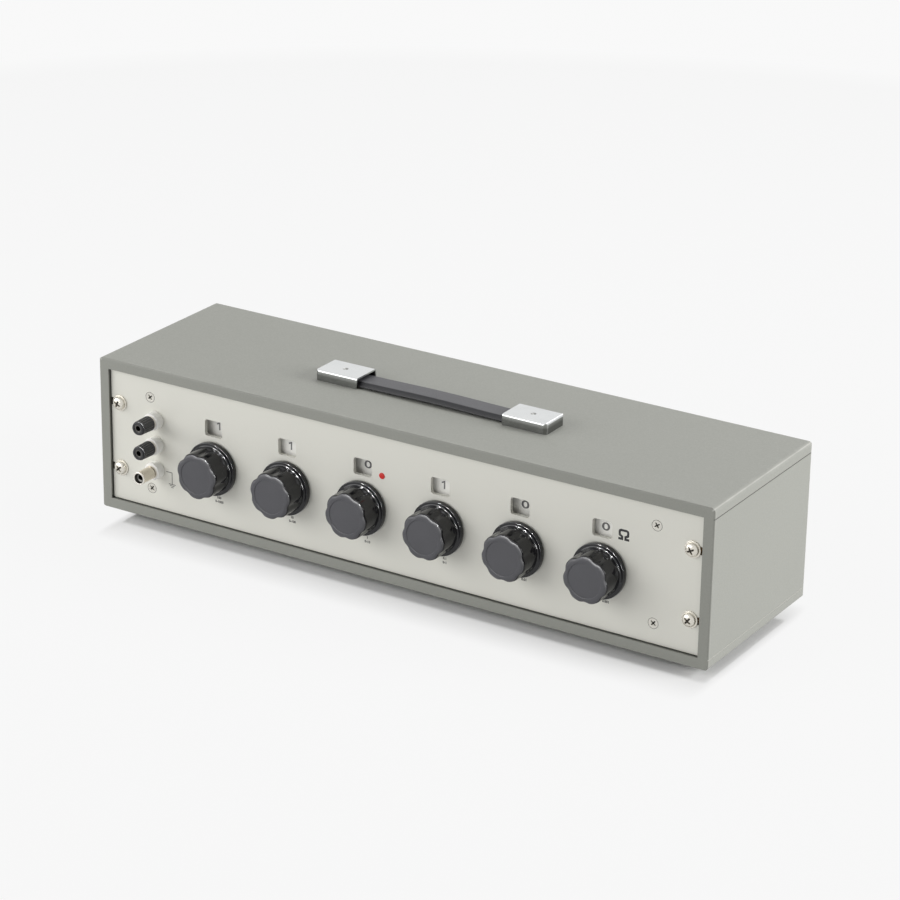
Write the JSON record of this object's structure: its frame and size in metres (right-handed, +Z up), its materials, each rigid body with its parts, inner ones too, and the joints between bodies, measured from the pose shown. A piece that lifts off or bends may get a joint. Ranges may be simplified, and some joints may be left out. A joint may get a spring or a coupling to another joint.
{
  "type": "decade resistance box",
  "caption": "Decade resistance box: grey wooden case with a carrying strap, recessed panel, lobed selector knobs under number windows, and plug terminals.",
  "frame": {"origin": "on the table, under the middle of the whole object's box", "axes": "+X to the right as the panel is read, +Y to the back, +Z up"},
  "size_m": [0.497, 0.1599, 0.13],
  "materials": {
    "case_paint": "grey textured paint over wood",
    "bare_wood": "bare softwood",
    "nickel": "bright nickel plate",
    "bright_chrome": "bright plated sheet",
    "foot_rubber": "black rubber",
    "panel_paint": "pale grey satin paint",
    "plate_aluminium": "plain sheet",
    "brass": "turned brass",
    "phenolic": "brown laminate",
    "wound_spool": "enamelled wire on a bobbin",
    "copper_wire": "bare tinned copper wire",
    "white_insulator": "white moulded plastic",
    "terminal_black": "black moulded plastic",
    "knob_black": "black moulded plastic with a matt face",
    "dial_white": "white disc with plain black numbers",
    "strap_vinyl": "black vinyl strap"
  },
  "bodies": {
    "case": {"top_board": "case_paint", "bottom_board": "case_paint", "left_board": "case_paint", "right_board": "case_paint", "back_board": "case_paint", "back_battens": "bare_wood", "back_screws": "nickel", "feet": "foot_rubber", "panel_cleats": "bare_wood", "front_panel": "panel_paint", "rack_screws": "nickel", "rack_washers": "nickel", "frame_screws": "nickel", "frame_pillars": "nickel", "chassis_plate": "plate_aluminium", "pillar_nuts": "nickel", "shaft_bushes": "brass", "bush_nuts": "nickel", "switch_decks": "phenolic", "contact_studs": "brass", "resistor_spools": "wound_spool", "link_wires": "copper_wire", "terminal_bases": "white_insulator", "terminal_studs": "nickel", "rear_insulators": "white_insulator", "terminal_nuts": "nickel", "handle_plates": "nickel", "handle_screws": "nickel", "handle_caps": "bright_chrome"},
    "selector_1": {"knob_1": "knob_black", "shaft_1": "nickel", "dial_1": "dial_white", "rotor_1": "brass"},
    "selector_2": {"knob_2": "knob_black", "shaft_2": "nickel", "dial_2": "dial_white", "rotor_2": "brass"},
    "selector_3": {"knob_3": "knob_black", "shaft_3": "nickel", "dial_3": "dial_white", "rotor_3": "brass"},
    "selector_4": {"knob_4": "knob_black", "shaft_4": "nickel", "dial_4": "dial_white", "rotor_4": "brass"},
    "selector_5": {"knob_5": "knob_black", "shaft_5": "nickel", "dial_5": "dial_white", "rotor_5": "brass"},
    "selector_6": {"knob_6": "knob_black", "shaft_6": "nickel", "dial_6": "dial_white", "rotor_6": "brass"},
    "high_sleeve": {"high_socket": "nickel"},
    "high_grip": {"high_cap": "terminal_black"},
    "low_sleeve": {"low_socket": "nickel"},
    "low_grip": {"low_cap": "terminal_black"},
    "earth_sleeve": {"earth_socket": "nickel"},
    "earth_grip": {"earth_cap": "nickel"},
    "strap": {"carry_strap": "strap_vinyl"}
  },
  "joints": [
    {"name": "selector_1_turn", "type": "hinge", "parent": "case", "child": "selector_1", "pos_m": [-0.15, -0.05755, 0.0577], "axis": [0, 1, 0], "range_deg": [-30, 270]},
    {"name": "selector_2_turn", "type": "hinge", "parent": "case", "child": "selector_2", "pos_m": [-0.087, -0.05755, 0.0577], "axis": [0, 1, 0], "range_deg": [-30, 270]},
    {"name": "selector_3_turn", "type": "hinge", "parent": "case", "child": "selector_3", "pos_m": [-0.024, -0.05755, 0.0577], "axis": [0, 1, 0], "range_deg": [0, 300]},
    {"name": "selector_4_turn", "type": "hinge", "parent": "case", "child": "selector_4", "pos_m": [0.039, -0.05755, 0.0577], "axis": [0, 1, 0], "range_deg": [-30, 270]},
    {"name": "selector_5_turn", "type": "hinge", "parent": "case", "child": "selector_5", "pos_m": [0.102, -0.05755, 0.0577], "axis": [0, 1, 0], "range_deg": [0, 300]},
    {"name": "selector_6_turn", "type": "hinge", "parent": "case", "child": "selector_6", "pos_m": [0.165, -0.05755, 0.0577], "axis": [0, 1, 0], "range_deg": [0, 300]},
    {"name": "high_sleeve_rise", "type": "slide", "parent": "case", "child": "high_sleeve", "axis": [0, -1, 0], "range_m": [0, 0.003]},
    {"name": "high_cap_turn", "type": "hinge", "parent": "high_sleeve", "child": "high_grip", "pos_m": [-0.2005, -0.07255, 0.08305], "axis": [0, -1, 0], "range_deg": [0, 1080]},
    {"name": "low_sleeve_rise", "type": "slide", "parent": "case", "child": "low_sleeve", "axis": [0, -1, 0], "range_m": [0, 0.003]},
    {"name": "low_cap_turn", "type": "hinge", "parent": "low_sleeve", "child": "low_grip", "pos_m": [-0.2005, -0.07255, 0.064], "axis": [0, -1, 0], "range_deg": [0, 1080]},
    {"name": "earth_sleeve_rise", "type": "slide", "parent": "case", "child": "earth_sleeve", "axis": [0, -1, 0], "range_m": [0, 0.003]},
    {"name": "earth_cap_turn", "type": "hinge", "parent": "earth_sleeve", "child": "earth_grip", "pos_m": [-0.2005, -0.07255, 0.04495], "axis": [0, -1, 0], "range_deg": [0, 1080]},
    {"name": "strap_lift", "type": "slide", "parent": "case", "child": "strap", "axis": [0, 0, 1], "range_m": [0, 0.0019]}
  ],
  "couplings": [
    {"joint": "high_cap_turn", "follows": "high_sleeve_rise", "rad_per_m": 6283.2},
    {"joint": "low_cap_turn", "follows": "low_sleeve_rise", "rad_per_m": 6283.2},
    {"joint": "earth_cap_turn", "follows": "earth_sleeve_rise", "rad_per_m": 6283.2}
  ]
}
